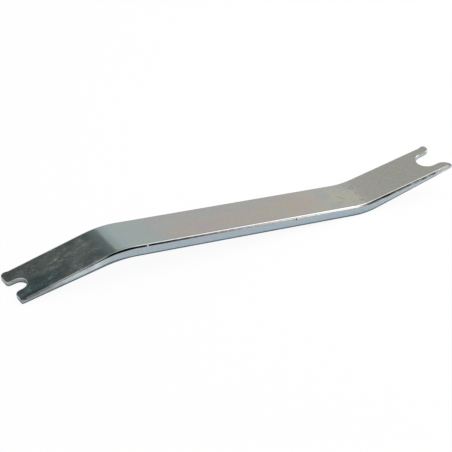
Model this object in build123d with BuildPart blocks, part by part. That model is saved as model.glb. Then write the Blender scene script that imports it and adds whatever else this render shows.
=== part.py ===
from build123d import *
import os
from math import asin, atan2, cos, hypot, radians, sin, tan

# Fuel line disconnect tool: one flat steel bar set in a lazy Z, with both arms
# thinned to a wedge and their ends forked to straddle a fuel line. It lies as it
# rests on a bench, on the prong tips of its drooping arm and on the belly of the
# bend before its raised arm. +X runs along the bar to the raised arm, +Z is up,
# and the origin is on the bench under the middle of the whole length.

# Bar stock
bar_width = 25.0
bar_thickness = 6.0
near_rolled_radius = 1.7  # soft upper edge along the -Y side
far_rolled_radius = 1.3  # soft upper edge along the +Y side
lower_edge_radius = 0.3
least_side_height = 0.05  # flat left on the sides at the thinner tip

# Middle and arms, measured on the top face between its sharp bend corners
middle_length = 156.6
drooping_arm_length = 56.8
drooping_arm_angle = 19.9
drooping_bend_radius = 56.0
raised_arm_length = 60.7
raised_arm_angle = 16.1
raised_bend_radius = 49.0

# Fork at the drooping arm's tip, for the narrow line
narrow_tip_thickness = 2.6
narrow_notch_width = 8.4
narrow_notch_depth = 8.65
narrow_notch_shift = 0.45  # towards the -Y side
narrow_near_corner_radius = 1.0  # outside the -Y prong
narrow_far_corner_radius = 2.7  # outside the +Y prong
narrow_near_mouth_radius = 2.8
narrow_far_mouth_radius = 1.9

# Fork at the raised arm's tip, for the wide line
wide_tip_thickness = 2.1
wide_notch_width = 12.8
wide_notch_depth = 14.55  # from the longer prong's tip
wide_notch_shift = 0.3  # towards the +Y side
wide_near_corner_radius = 0.5  # outside the -Y prong
wide_far_corner_radius = 1.8  # outside the +Y prong
wide_near_mouth_radius = 5.7
wide_far_mouth_radius = 3.8
wide_prong_difference = 1.1  # how much shorter the +Y prong is

prong_end_flat = 0.15  # least straight end between a prong's corner and mouth radii
cut_margin = 5.0  # how far the fork cuts run past the bar

# Side profile in the bar's own frame: x along the middle's top face from its
# mid point, z up from that face.
droop = radians(drooping_arm_angle)
lift = radians(raised_arm_angle)
half_middle = middle_length / 2

droop_corner_low_x = -half_middle + bar_thickness * tan(droop / 2)
lift_corner_low_x = half_middle + bar_thickness * tan(lift / 2)

droop_tip_x = -half_middle - drooping_arm_length * cos(droop)
droop_tip_z = -drooping_arm_length * sin(droop)
droop_tip_low_x = droop_tip_x + narrow_tip_thickness * sin(droop)
droop_tip_low_z = droop_tip_z - narrow_tip_thickness * cos(droop)

lift_tip_x = half_middle + raised_arm_length * cos(lift)
lift_tip_z = raised_arm_length * sin(lift)
lift_tip_low_x = lift_tip_x + wide_tip_thickness * sin(lift)
lift_tip_low_z = lift_tip_z - wide_tip_thickness * cos(lift)

# The underside of each bend is an arc that runs tangent into the thinned arm.
droop_inner_radius = drooping_bend_radius - bar_thickness
belly_radius = raised_bend_radius + bar_thickness

# Resting slope: the bench line passes the drooping tip's lower corner and
# touches the belly arc of the raised bend.
belly_angle = atan2(lift_tip_low_z + bar_thickness, lift_tip_low_x - lift_corner_low_x)
belly_centre_x = lift_corner_low_x - belly_radius * tan(belly_angle / 2)
belly_centre_z = belly_radius - bar_thickness
to_belly_x = belly_centre_x - droop_tip_low_x
to_belly_z = belly_centre_z - droop_tip_low_z
rest_slope = atan2(to_belly_z, to_belly_x) - asin(belly_radius / hypot(to_belly_x, to_belly_z))

# The lower corner of the drooping tip stands on the bench, and the origin is
# midway between the two ends.
along = cos(rest_slope)
across = sin(rest_slope)
left_end = along * droop_tip_x + across * droop_tip_z
right_end = along * lift_tip_low_x + across * lift_tip_low_z
bar_origin_x = -(left_end + right_end) / 2
bar_origin_z = across * droop_tip_low_x - along * droop_tip_low_z

profile_plane = Plane(
    origin=(bar_origin_x, 0, bar_origin_z),
    x_dir=(along, 0, -across),
    z_dir=(0, -1, 0),
)
droop_tip = profile_plane.from_local_coords((droop_tip_x, droop_tip_z))
lift_tip = profile_plane.from_local_coords((lift_tip_x, lift_tip_z))
droop_slope = droop - rest_slope
lift_slope = lift - rest_slope

# Fork plans: x runs from the tip's end face towards the middle of the bar.
narrow_fork_plane = Plane(
    origin=droop_tip,
    x_dir=(cos(droop_slope), 0, sin(droop_slope)),
    z_dir=(-sin(droop_slope), 0, cos(droop_slope)),
)
wide_fork_plane = Plane(
    origin=lift_tip,
    x_dir=(-cos(lift_slope), 0, -sin(lift_slope)),
    z_dir=(-sin(lift_slope), 0, cos(lift_slope)),
)


def fork_waste(shift, notch_width, notch_depth, corner_radii, mouth_radii, low_end=0.0):
    """Plan of what is cut from an arm's end: the notch and the corners outside its prongs.

    A mouth radius is kept to what its prong has room for beside the corner radius.
    """
    half_width = bar_width / 2
    root_centre = notch_depth - notch_width / 2
    reach = notch_depth + cut_margin
    notch_sides = (shift - notch_width / 2, shift + notch_width / 2)
    prong_widths = (half_width + notch_sides[0], half_width - notch_sides[1])
    with BuildSketch() as prongs:
        with BuildLine():
            Polyline(
                (low_end, -half_width),
                (reach, -half_width),
                (reach, half_width),
                (0, half_width),
                close=True,
            )
        make_face()
        for side, radius in zip((-half_width, half_width), corner_radii):
            fillet(prongs.vertices().sort_by_distance((0, side))[0], radius)
        with Locations((root_centre, shift)):
            Circle(notch_width / 2, mode=Mode.SUBTRACT)
        with Locations((0, shift)):
            Rectangle(root_centre, notch_width, align=(Align.MIN, Align.CENTER), mode=Mode.SUBTRACT)
        prong_ends = zip(notch_sides, mouth_radii, prong_widths, corner_radii)
        for side, radius, prong_width, corner_radius in prong_ends:
            room = prong_width - corner_radius - prong_end_flat
            fillet(prongs.vertices().sort_by_distance((0, side))[0], min(radius, room))
    with BuildSketch() as waste:
        with Locations((-cut_margin, 0)):
            Rectangle(reach + cut_margin, bar_width + 2 * cut_margin, align=(Align.MIN, Align.CENTER))
        add(prongs.sketch, mode=Mode.SUBTRACT)
    return waste.sketch


# The narrow fork's plan has its low side at -Y, the wide fork's at +Y.
narrow_waste = fork_waste(
    -narrow_notch_shift,
    narrow_notch_width,
    narrow_notch_depth,
    (narrow_near_corner_radius, narrow_far_corner_radius),
    (narrow_near_mouth_radius, narrow_far_mouth_radius),
)
wide_waste = fork_waste(
    -wide_notch_shift,
    wide_notch_width,
    wide_notch_depth,
    (wide_far_corner_radius, wide_near_corner_radius),
    (wide_far_mouth_radius, wide_near_mouth_radius),
    wide_prong_difference,
)


def long_edges(bar, upward, side):
    """The edges along one side of the bar, on its top face or on its underside."""
    faces = bar.faces().filter_by(lambda face: face.normal_at().Z * upward > 0.5)
    return faces.edges().filter_by(lambda edge: edge.center().Y * side > bar_width / 2 - 0.01)


# The bar: its bent and thinned side profile, as wide as the stock
with BuildPart() as forked_bar:
    with BuildSketch(profile_plane) as profile:
        with BuildLine():
            Polyline(
                (droop_tip_x, droop_tip_z),
                (-half_middle, 0),
                (half_middle, 0),
                (lift_tip_x, lift_tip_z),
                (lift_tip_low_x, lift_tip_low_z),
                (lift_corner_low_x, -bar_thickness),
                (droop_corner_low_x, -bar_thickness),
                (droop_tip_low_x, droop_tip_low_z),
                close=True,
            )
        make_face()
        bend_corners = (
            ((-half_middle, 0), drooping_bend_radius),
            ((half_middle, 0), raised_bend_radius),
            ((lift_corner_low_x, -bar_thickness), belly_radius),
            ((droop_corner_low_x, -bar_thickness), droop_inner_radius),
        )
        for corner, radius in bend_corners:
            fillet(profile.vertices().sort_by_distance(corner)[0], radius)
    extrude(amount=bar_width / 2, both=True)

    # Soft upper edges, kept within the thinner tip, and broken lower edges
    thinner_tip = min(narrow_tip_thickness, wide_tip_thickness)
    rolled_room = thinner_tip - lower_edge_radius - least_side_height
    edge_radii = (
        (1, -1, min(near_rolled_radius, rolled_room)),
        (1, 1, min(far_rolled_radius, rolled_room)),
        (-1, -1, lower_edge_radius),
        (-1, 1, lower_edge_radius),
    )
    for upward, side, radius in edge_radii:
        fillet(long_edges(forked_bar, upward, side), radius)

    # Forks, cut square to the top face of each arm
    for waste, plane in ((narrow_waste, narrow_fork_plane), (wide_waste, wide_fork_plane)):
        with BuildSketch(plane):
            add(waste)
        extrude(amount=bar_thickness + cut_margin, both=True, mode=Mode.SUBTRACT)

forked_bar.part.label = "forked_bar"
os.makedirs("parts", exist_ok=True)
export_step(forked_bar.part, "parts/forked_bar.step")
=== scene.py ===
import logging
import math
from collections.abc import Sequence
from dataclasses import dataclass, field
from enum import Enum

import bmesh
import bpy
from mathutils import Matrix, Vector


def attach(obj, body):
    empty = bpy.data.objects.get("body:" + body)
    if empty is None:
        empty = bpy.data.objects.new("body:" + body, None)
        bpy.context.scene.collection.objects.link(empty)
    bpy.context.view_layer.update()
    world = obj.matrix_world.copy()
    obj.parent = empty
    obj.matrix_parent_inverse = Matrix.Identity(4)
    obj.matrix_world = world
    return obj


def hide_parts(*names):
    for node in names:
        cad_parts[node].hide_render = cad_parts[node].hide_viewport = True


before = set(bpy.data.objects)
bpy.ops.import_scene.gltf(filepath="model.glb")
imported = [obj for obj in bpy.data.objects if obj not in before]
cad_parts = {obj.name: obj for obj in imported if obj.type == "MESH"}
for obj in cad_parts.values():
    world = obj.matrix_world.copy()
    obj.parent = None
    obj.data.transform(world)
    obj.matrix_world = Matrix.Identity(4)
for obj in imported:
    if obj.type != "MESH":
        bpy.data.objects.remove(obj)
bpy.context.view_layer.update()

log = logging.getLogger("fuel_line_tool")
MM = 0.001
TINY = 1e-6
ORIGIN = (0.0, 0.0, 0.0)


class Side(Enum):
    """Which end of the bar an arm is on."""

    DROOPING = -1
    RAISED = 1


class Rim(Enum):
    """How the top rim of the blank is rounded, by its radius in millimetres."""

    NEAR = 1.7
    FAR = 1.3
    BROKEN = 0.45


def share_between(value: float, start: float, end: float) -> float:
    """How far a value has come from start to end, kept between 0 and 1."""
    return max(0.0, min(1.0, (value - start) / (end - start)))


class Nodes:
    """Short ways to add and join the nodes of one tree."""

    def __init__(self, tree: bpy.types.NodeTree) -> None:
        """Take the tree that the nodes go into.

        Args:
            tree: A shader, world or geometry node tree.
        """
        self.tree = tree

    def add(self, kind: str, **settings: object) -> bpy.types.Node:
        """Add one node.

        Args:
            kind: The node's Blender type name.
            settings: Values for the node's own properties.

        Returns:
            The new node.
        """
        node = self.tree.nodes.new(kind)
        for name, value in settings.items():
            setattr(node, name, value)
        return node

    def feed(self, socket: bpy.types.NodeSocket, value: object) -> None:
        """Join a socket to another socket, or set its own value.

        Args:
            socket: The input socket.
            value: An output socket, a number or a sequence of numbers.
        """
        if isinstance(value, bpy.types.NodeSocket):
            self.tree.links.new(value, socket)
        else:
            socket.default_value = value

    def math(self, operation: str, *terms: object, clamp: bool = False) -> bpy.types.NodeSocket:
        """Add a Math node.

        Args:
            operation: The name of the operation.
            terms: Its inputs, each a socket or a number.
            clamp: Whether the result is kept between 0 and 1.

        Returns:
            The result's socket.
        """
        node = self.add("ShaderNodeMath", operation=operation, use_clamp=clamp)
        for socket, term in zip(node.inputs, terms):
            self.feed(socket, term)
        return node.outputs[0]

    def ramp(
        self, value: object, low: float, high: float, start: float = 0.0, end: float = 1.0
    ) -> bpy.types.NodeSocket:
        """Map a value smoothly from one range to another.

        Args:
            value: The socket to map.
            low: The value at which the result is start.
            high: The value at which the result is end.
            start: The result at and below low.
            end: The result at and above high.

        Returns:
            The mapped value's socket.
        """
        node = self.add("ShaderNodeMapRange", interpolation_type="SMOOTHSTEP")
        self.feed(node.inputs["Value"], value)
        for name, term in (("From Min", low), ("From Max", high), ("To Min", start), ("To Max", end)):
            self.feed(node.inputs[name], term)
        return node.outputs["Result"]

    def fade(self, value: object, low: float, high: float) -> bpy.types.NodeSocket:
        """Map a value smoothly to 1 at and below low and 0 at and above high."""
        return self.ramp(value, low, high, 1.0, 0.0)

    def band(
        self, value: object, rise: tuple[float, float], fall: tuple[float, float]
    ) -> bpy.types.NodeSocket:
        """Map a value to 1 inside a band and 0 outside it, with smooth edges.

        Args:
            value: The socket to map.
            rise: The value at which the band starts, and where it is full.
            fall: The value at which it is no longer full, and where it ends.

        Returns:
            The band's socket.
        """
        return self.math("MULTIPLY", self.ramp(value, *rise), self.fade(value, *fall))

    def noise(
        self, place: object, scale: object, detail: float = 2.0, rough: float = 0.5
    ) -> bpy.types.NodeOutputs:
        """Add a noise texture.

        Args:
            place: The socket with the place on the piece.
            scale: How many lumps there are in one unit of place.
            detail: How many finer layers it has.
            rough: How strong the finer layers are.

        Returns:
            The texture's outputs, value first and colour second.
        """
        node = self.add("ShaderNodeTexNoise")
        for name, value in (("Vector", place), ("Scale", scale), ("Detail", detail), ("Roughness", rough)):
            self.feed(node.inputs[name], value)
        return node.outputs

    def vector(self, operation: str, first: object, second: object) -> bpy.types.NodeSocket:
        """Add a Vector Math node.

        Args:
            operation: The name of the operation.
            first: Its first input.
            second: Its second input.

        Returns:
            The result's socket.
        """
        node = self.add("ShaderNodeVectorMath", operation=operation)
        self.feed(node.inputs[0], first)
        self.feed(node.inputs[1], second)
        return node.outputs[0]

    def length(self, vector: object) -> bpy.types.NodeSocket:
        """Measure a vector.

        Args:
            vector: The socket with the vector.

        Returns:
            The length's socket.
        """
        node = self.add("ShaderNodeVectorMath", operation="LENGTH")
        self.feed(node.inputs[0], vector)
        return node.outputs["Value"]

    def parts(self, vector: object) -> bpy.types.NodeOutputs:
        """Split a vector.

        Args:
            vector: The socket with the vector.

        Returns:
            Its x, y and z.
        """
        node = self.add("ShaderNodeSeparateXYZ")
        self.feed(node.inputs[0], vector)
        return node.outputs

    def scale(self, value: object, factor: object) -> bpy.types.NodeSocket:
        """Multiply a colour or vector by one number.

        Args:
            value: The socket with the colour or vector.
            factor: The number.

        Returns:
            The result's socket.
        """
        node = self.add("ShaderNodeVectorMath", operation="SCALE")
        self.feed(node.inputs[0], value)
        self.feed(node.inputs["Scale"], factor)
        return node.outputs[0]

    def stretch(
        self, place: object, sizes: tuple[float, float, float], turn: float = 0.0
    ) -> bpy.types.NodeSocket:
        """Turn and stretch a place before a pattern reads it.

        Args:
            place: The socket with the place.
            sizes: The factor along each axis.
            turn: The turn about the third axis, in degrees.

        Returns:
            The new place's socket.
        """
        node = self.add("ShaderNodeMapping")
        self.feed(node.inputs["Vector"], place)
        self.feed(node.inputs["Rotation"], (0.0, 0.0, math.radians(turn)))
        self.feed(node.inputs["Scale"], sizes)
        return node.outputs[0]

    def tints(
        self, factor: object, stops: Sequence[tuple[float, tuple[float, float, float]]]
    ) -> bpy.types.NodeSocket:
        """Add a colour ramp.

        Args:
            factor: The socket that it follows.
            stops: Places from 0 to 1 with their colours.

        Returns:
            The colour's socket.
        """
        node = self.add("ShaderNodeValToRGB")
        band = node.color_ramp
        band.interpolation = "EASE"
        while len(band.elements) < len(stops):
            band.elements.new(0.5)
        for element, (where, colour) in zip(band.elements, stops):
            element.position = where
            element.color = (*colour, 1.0)
        self.feed(node.inputs[0], factor)
        return node.outputs[0]

    def mix_colour(
        self, factor: object, first: object, second: object, blend: str = "MIX"
    ) -> bpy.types.NodeSocket:
        """Mix two colours.

        Args:
            factor: How much of the second colour shows, from 0 to 1.
            first: The colour at factor 0.
            second: The colour at factor 1.
            blend: The way in which they are mixed.

        Returns:
            The mixed colour's socket.
        """
        node = self.add("ShaderNodeMix", data_type="RGBA", blend_type=blend)
        self.feed(node.inputs[0], factor)
        self.feed(node.inputs[6], first)
        self.feed(node.inputs[7], second)
        return node.outputs[2]


class Effect:
    """A shader node group with named inputs and outputs, built once and used in any finish."""

    def __init__(
        self, name: str, inputs: dict[str, float | tuple[float, ...]], outputs: dict[str, str]
    ) -> None:
        """Start the group.

        Args:
            name: The group's name.
            inputs: Its inputs with their first values, a tuple for a vector.
            outputs: Its outputs with their kinds, Float, Color or Vector.
        """
        self.tree = bpy.data.node_groups.new(name, "ShaderNodeTree")
        for label, value in inputs.items():
            kind = "NodeSocketVector" if isinstance(value, tuple) else "NodeSocketFloat"
            socket = self.tree.interface.new_socket(label, in_out="INPUT", socket_type=kind)
            socket.default_value = value
        for label, kind in outputs.items():
            self.tree.interface.new_socket(label, in_out="OUTPUT", socket_type="NodeSocket" + kind)
        self.n = Nodes(self.tree)
        self.given = self.n.add("NodeGroupInput").outputs
        self.result = self.n.add("NodeGroupOutput").inputs

    def place(self, n: Nodes, **values: object) -> bpy.types.NodeOutputs:
        """Use the group in a finish.

        Args:
            n: The finish's nodes.
            values: Values or sockets for its inputs, with _ for a space in a name.

        Returns:
            The group's outputs.
        """
        node = n.add("ShaderNodeGroup", node_tree=self.tree)
        for label, value in values.items():
            n.feed(node.inputs[label.replace("_", " ")], value)
        return node.outputs


@dataclass
class Fork:
    """The forked end of an arm, in the plan of its top face."""

    notch_width: float
    notch_depth: float
    notch_shift: float
    near_corner: float
    far_corner: float
    near_mouth: float
    far_mouth: float
    prong_difference: float = 0.0
    corner_steps: int = 10
    mouth_steps: int = 16
    notch_steps: int = 36

    def plan(self, half_width: float) -> list[tuple[Vector, Vector]]:
        """Follow the fork's outline from the near side of the bar to its far side.

        Args:
            half_width: Half the bar's width.

        Returns:
            Points and outward directions, x running inwards from the prong tips.
        """
        half_notch = self.notch_width / 2
        root = self.notch_depth - half_notch
        near, far = self.notch_shift - half_notch, self.notch_shift + half_notch
        near_corner = Vector((self.near_corner, self.near_corner - half_width))
        near_mouth = Vector((self.near_mouth, near - self.near_mouth))
        notch = Vector((root, self.notch_shift))
        far_mouth = Vector((self.far_mouth, far + self.far_mouth))
        far_corner = Vector((self.far_corner, half_width - self.far_corner))
        path = self.bow(near_corner, self.near_corner, -90, -180, self.corner_steps)
        path += self.bow(near_mouth, self.near_mouth, 180, 90, self.mouth_steps)
        path += self.bow(notch, half_notch, -90, 90, self.notch_steps, hollow=True)
        path += self.bow(far_mouth, self.far_mouth, -90, -180, self.mouth_steps)
        path += self.bow(far_corner, self.far_corner, 180, 90, self.corner_steps)
        for point, _ in path:
            share = (point.y + half_width) / (2 * half_width)
            fade = max(0.0, 1 - point.x / self.notch_depth)
            point.x += self.prong_difference * share * fade
        return path

    @staticmethod
    def bow(
        centre: Vector, radius: float, start: float, end: float, steps: int, hollow: bool = False
    ) -> list[tuple[Vector, Vector]]:
        """Points along an arc of the outline.

        Args:
            centre: The arc's centre.
            radius: Its radius.
            start: The angle it starts at, in degrees from +x towards +y.
            end: The angle it ends at.
            steps: How many parts it has.
            hollow: Whether the metal is outside the arc.

        Returns:
            Points and outward directions.
        """
        path = []
        for step in range(steps + 1):
            angle = math.radians(start + (end - start) * step / steps)
            out = Vector((math.cos(angle), math.sin(angle)))
            path.append((centre + out * radius, -out if hollow else out))
        return path


@dataclass
class Arm:
    """One bent and thinned arm, measured along the bar's top face from its mid point.

    The bend is an arc laid into the sharp corner at bend_corner, and length runs from that corner
    to the longer prong's tip. The thinning is eased in over thin_blend to both sides of thin_start.
    The fork's own outline takes up fork_room at the tip, and the bar's even stations stop before it.
    """

    side: Side
    length: float
    bend_radius: float
    bend_angle: float
    tip_thickness: float
    thin_start: float
    thin_blend: float
    fork_room: float
    fork: Fork
    bend_corner: float = 78.3 * MM

    @property
    def setback(self) -> float:
        """How far before its sharp corner the bend starts."""
        return self.bend_radius * math.tan(abs(self.bend_angle) / 2)

    @property
    def bend_start(self) -> float:
        """Where the bend starts."""
        return self.bend_corner - self.setback

    @property
    def tip(self) -> float:
        """Where the arm ends in the flat blank."""
        return self.bend_start + self.bend_radius * abs(self.bend_angle) + self.length - self.setback

    def thin_slope(self, thickness: float) -> float:
        """How fast the arm thins towards its tip, from the bar's thickness."""
        return (thickness - self.tip_thickness) / (self.tip - self.thin_start)

    def tip_corner(self, depth: float) -> Vector:
        """A corner of the bent arm's tip, seen from the near side with the middle level.

        Args:
            depth: How far the corner is below the top face.

        Returns:
            Its place along and above the top face's mid point.
        """
        cosine, sine = math.cos(self.bend_angle), math.sin(self.bend_angle)
        along = self.bend_corner + self.length * cosine + depth * sine
        return Vector((self.side.value * along, self.length * sine - depth * cosine))

    def end_path(self, half_width: float) -> list[tuple[Vector, Vector]]:
        """The fork's outline in the flat blank, in the order that keeps the metal on the left.

        Args:
            half_width: Half the bar's width.

        Returns:
            Points and outward directions.
        """
        sign = self.side.value
        path = [
            (Vector((sign * (self.tip - p.x), p.y)), Vector((-sign * out.x, out.y)))
            for p, out in self.fork.plan(half_width)
        ]
        return path if self.side is Side.RAISED else path[::-1]


@dataclass
class ForkedBar:
    """The tool itself: one bar bent at two places, with a fork at each end.

    Its upper edges are rolled and fade to a broken rim over roll_fade before each fork, and the
    near one gets sharper along the drooping arm. A band of painted shade darkens the lower part of
    the sides, higher along the drooping arm. The borders are the flat strips that keep each rim's shape.
    """

    width: float = 25.0 * MM
    thickness: float = 6.0 * MM
    lower_radius: float = 0.4 * MM
    # Painted shade: a dark colour band along the lower part of the sides, not a shape
    painted_shade_band_low: float = 0.9 * MM
    painted_shade_band_high: float = 1.6 * MM
    painted_shade_band_rise_start: float = 72.0 * MM
    painted_shade_band_rise_end: float = 87.0 * MM
    painted_shade_band_step: float = 0.2 * MM
    roll_fade: float = 2.5 * MM
    near_sharpening: float = 0.4
    sharpening_start: float = 76.0 * MM
    sharpening_end: float = 98.0 * MM
    top_border: float = 0.35 * MM
    side_border: float = 0.15 * MM
    lower_border: float = 0.25 * MM
    ripple_depth: float = 0.05 * MM
    ripple_length: float = 4.0 * MM
    along_step: float = 0.5 * MM
    columns: int = 10
    roll_steps: int = 16
    lower_steps: int = 4
    drooping: Arm = field(
        default_factory=lambda: Arm(
            side=Side.DROOPING,
            length=56.8 * MM,
            bend_radius=56.0 * MM,
            bend_angle=math.radians(-19.9),
            tip_thickness=2.6 * MM,
            thin_start=77.3 * MM,
            thin_blend=7.9 * MM,
            fork_room=12.5 * MM,
            fork=Fork(
                notch_width=8.4 * MM,
                notch_depth=8.65 * MM,
                notch_shift=-0.45 * MM,
                near_corner=1.0 * MM,
                far_corner=2.7 * MM,
                near_mouth=2.8 * MM,
                far_mouth=1.9 * MM,
            ),
        )
    )
    raised: Arm = field(
        default_factory=lambda: Arm(
            side=Side.RAISED,
            length=60.7 * MM,
            bend_radius=49.0 * MM,
            bend_angle=math.radians(16.1),
            tip_thickness=2.1 * MM,
            thin_start=79.2 * MM,
            thin_blend=9.6 * MM,
            fork_room=18.0 * MM,
            fork=Fork(
                notch_width=12.8 * MM,
                notch_depth=14.55 * MM,
                notch_shift=0.3 * MM,
                near_corner=0.5 * MM,
                far_corner=1.8 * MM,
                near_mouth=5.7 * MM,
                far_mouth=3.8 * MM,
                prong_difference=1.1 * MM,
            ),
        )
    )

    def outline(self) -> tuple[list[tuple[Vector, Vector, float]], list[float]]:
        """The flat blank's outline, counter-clockwise from above.

        Returns:
            Its points, each with an outward direction and rim radius, and the stations along the two sides.
        """
        half = self.width / 2
        start = self.drooping.fork_room - self.drooping.tip
        end = self.raised.tip - self.raised.fork_room
        count = round((end - start) / self.along_step)
        stations = [start + (end - start) * i / count for i in range(count + 1)]
        right = self.raised.end_path(half)
        left = self.drooping.end_path(half)
        down, up = Vector((0.0, -1.0)), Vector((0.0, 1.0))
        near_right = self.lead(end, right[0][0].x)
        far_right = self.lead(end, right[-1][0].x)
        far_left = self.lead(start, left[0][0].x)
        near_left = self.lead(start, left[-1][0].x)
        loop = [(Vector((s, -half)), down) for s in stations + near_right]
        loop += right
        loop += [(Vector((s, half)), up) for s in far_right[::-1] + stations[::-1] + far_left]
        loop += left
        loop += [(Vector((s, -half)), down) for s in near_left[::-1]]
        ends = {-1: (left[-1][0].x, right[0][0].x), 1: (left[0][0].x, right[-1][0].x)}
        return [(p, out, self.rim_radius(p, out, *ends[1 if p.y > 0 else -1])) for p, out in loop], stations

    def lead(self, start: float, end: float) -> list[float]:
        """Stations between the evenly divided part of a side and a fork's corner, both left out.

        Args:
            start: Where the evenly divided part stops.
            end: Where the corner starts.

        Returns:
            The stations in order.
        """
        count = max(2, round(abs(end - start) / self.along_step))
        return [start + (end - start) * i / count for i in range(1, count)]

    def rim_radius(self, point: Vector, out: Vector, left: float, right: float) -> float:
        """The top rim's radius at a point of the outline.

        Args:
            point: The point.
            out: Its outward direction.
            left: Where the drooping arm's corner starts on this side.
            right: Where the raised arm's corner starts on this side.

        Returns:
            The radius, rolled along the sides and only broken round the forks.
        """
        rolled = (Rim.NEAR if point.y < 0 else Rim.FAR).value * MM
        if point.y < 0:
            sharpened = share_between(-point.x, self.sharpening_start, self.sharpening_end)
            rolled *= 1 - self.near_sharpening * sharpened
        broken = Rim.BROKEN.value * MM
        if abs(out.x) > TINY or abs(point.y) < self.width / 2 - TINY:
            return broken
        share = share_between(min(right - point.x, point.x - left), 0.0, self.roll_fade)
        return broken + (rolled - broken) * share * share * (3 - 2 * share)

    def painted_shade_band_height(self, point: Vector) -> float:
        """The height of the band of painted shade at a point of the outline, taller along the drooping arm.

        Args:
            point: The point.

        Returns:
            The height.
        """
        share = share_between(-point.x, self.painted_shade_band_rise_start, self.painted_shade_band_rise_end)
        return self.painted_shade_band_low + (self.painted_shade_band_high - self.painted_shade_band_low) * share

    def section(self, radius: float, painted_shade_band_height: float) -> list[tuple[float, float, float, float]]:
        """The blank's edge seen end on, from its top face round to its underside.

        Args:
            radius: The top rim's radius.
            painted_shade_band_height: The height of the band of painted shade at the lower edge.

        Returns:
            For each place the inset from the outline, the depth, and how much it belongs
            to the rim and to the band of painted shade.
        """
        places = [(radius + self.top_border, 0.0, 0.0, 0.0)]
        for step in range(self.roll_steps + 1):
            angle = math.pi / 2 * step / self.roll_steps
            share = math.sin(math.pi * step / self.roll_steps)
            places.append((radius * (1 - math.sin(angle)), radius * (1 - math.cos(angle)), share, 0.0))
        # The band of painted shade starts here and is full below
        painted_shade_band_top = self.thickness - painted_shade_band_height
        places.append((0.0, radius + self.side_border, 0.0, 0.0))
        places.append((0.0, painted_shade_band_top - self.painted_shade_band_step, 0.0, 0.0))
        places.append((0.0, painted_shade_band_top, 0.0, 1.0))
        low = self.lower_radius
        for step in range(self.lower_steps + 1):
            angle = math.pi / 2 * step / self.lower_steps
            depth = self.thickness - low * (1 - math.sin(angle))
            places.append((low * (1 - math.cos(angle)), depth, 0.0, 1.0))
        places.append((low + self.lower_border, self.thickness, 0.0, 0.0))
        return places

    def blank(self) -> bpy.types.Mesh:
        """The flat blank, with both notches cut and every rim rounded.

        Returns:
            A closed mesh whose top face is at height 0.
        """
        loop, stations = self.outline()
        bm = bmesh.new()
        place = bm.verts.layers.float_vector.new("flat_place")
        rim = bm.verts.layers.float.new("rim")
        # The band of painted shade along the lower sides is carried as an attribute
        painted_shade_band = bm.verts.layers.float.new("painted_shade_band")
        rings = []
        for point, out, radius in loop:
            ring = []
            for inset, depth, share, painted_shade_band_share in self.section(radius, self.painted_shade_band_height(point)):
                flat = point - out * inset
                vert = bm.verts.new((flat.x, flat.y, -depth))
                vert[place] = vert.co
                vert[rim] = share
                vert[painted_shade_band] = painted_shade_band_share
                ring.append(vert)
            rings.append(ring)
        for here, there in zip(rings, rings[1:] + rings[:1]):
            for row in range(len(here) - 1):
                bm.faces.new((here[row], here[row + 1], there[row + 1], there[row]))
        last = stations[-1]
        far = max(i for i, (p, _, _) in enumerate(loop) if p.y > 0 and abs(p.x - last) < TINY)
        self.close(bm, rings, len(stations), far, 0)
        self.close(bm, rings, len(stations), far, -1)
        bmesh.ops.recalc_face_normals(bm, faces=bm.faces)
        for face in bm.faces:
            face.smooth = True
        mesh = bpy.data.meshes.new("forked_bar_blank")
        bm.to_mesh(mesh)
        bm.free()
        return mesh

    def close(
        self,
        bm: bmesh.types.BMesh,
        rings: list[list[bmesh.types.BMVert]],
        count: int,
        far_start: int,
        row: int,
    ) -> None:
        """Fill the top face or the underside inside the edge's innermost loop.

        Args:
            bm: The mesh being built.
            rings: The edge's rings of vertices, one for each outline point.
            count: How many of the rings are stations of the near side.
            far_start: The ring at the far side's station nearest the raised arm's fork.
            row: Which vertex of each ring the face joins.
        """
        near = [rings[i][row] for i in range(count)]
        far = [rings[far_start + count - 1 - i][row] for i in range(count)]
        place = bm.verts.layers.float_vector["flat_place"]
        rows = []
        for low, high in zip(near, far):
            line = [low]
            for column in range(1, self.columns):
                vert = bm.verts.new(low.co.lerp(high.co, column / self.columns))
                vert[place] = vert.co
                line.append(vert)
            rows.append(line + [high])
        for here, there in zip(rows, rows[1:]):
            for column in range(self.columns):
                bm.faces.new((here[column], there[column], there[column + 1], here[column + 1]))
        right_end = [ring[row] for ring in rings[count:far_start]]
        left_end = [ring[row] for ring in rings[far_start + count:]]
        bm.faces.new(right_end + rows[-1][::-1])
        bm.faces.new(left_end + rows[0])

    def arm_group(self) -> bpy.types.NodeTree:
        """The rule that thins one arm of the blank and bends it.

        Returns:
            A geometry node group with the arm's sizes as inputs.
        """
        tree = bpy.data.node_groups.new("bend_and_thin_arm", "GeometryNodeTree")
        tree.interface.new_socket("Geometry", in_out="INPUT", socket_type="NodeSocketGeometry")
        bend_sizes = ("Side", "Thickness", "Bend Start", "Bend Radius", "Bend Angle")
        thin_sizes = ("Thin Slope", "Thin Start", "Thin Blend")
        for name in bend_sizes + thin_sizes:
            tree.interface.new_socket(name, in_out="INPUT", socket_type="NodeSocketFloat")
        tree.interface.new_socket("Geometry", in_out="OUTPUT", socket_type="NodeSocketGeometry")
        n = Nodes(tree)
        entry = n.add("NodeGroupInput").outputs
        x, y, z = n.parts(n.add("GeometryNodeInputPosition").outputs[0])
        run = n.math("MULTIPLY", x, entry["Side"])
        depth = n.math("MULTIPLY", z, -1.0)

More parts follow.
